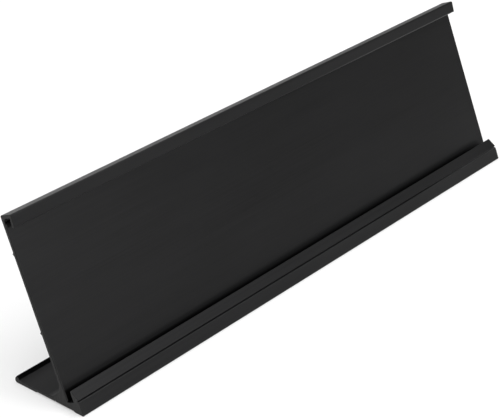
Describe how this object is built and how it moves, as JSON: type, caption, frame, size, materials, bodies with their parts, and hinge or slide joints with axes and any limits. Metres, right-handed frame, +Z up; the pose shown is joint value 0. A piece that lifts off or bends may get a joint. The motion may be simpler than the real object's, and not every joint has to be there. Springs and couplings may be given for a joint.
{
  "type": "desk name plate",
  "caption": "Desk name plate: a long extruded holder leaning back on a flat base, with a lip and a hook forming channels that take a thin name insert slid in from the end.",
  "frame": {"origin": "under the middle of the base, on the surface that it stands on", "axes": "+X along the holder, to the right of someone reading the plate; +Y to the rear, away from the reader; +Z up"},
  "size_m": [0.2032, 0.027, 0.0523],
  "materials": {
    "holder_anodised": "satin black anodised, with fine lines along the extrusion",
    "insert_anodised": "satin black anodised sheet, left bare"
  },
  "bodies": {
    "holder": {"holder": "holder_anodised"},
    "insert": {"name_insert": "insert_anodised"}
  },
  "joints": [
    {"name": "insert_slide", "type": "slide", "parent": "holder", "child": "insert", "axis": [1, 0, 0], "range_m": [-0.1778, 0.1778]}
  ]
}
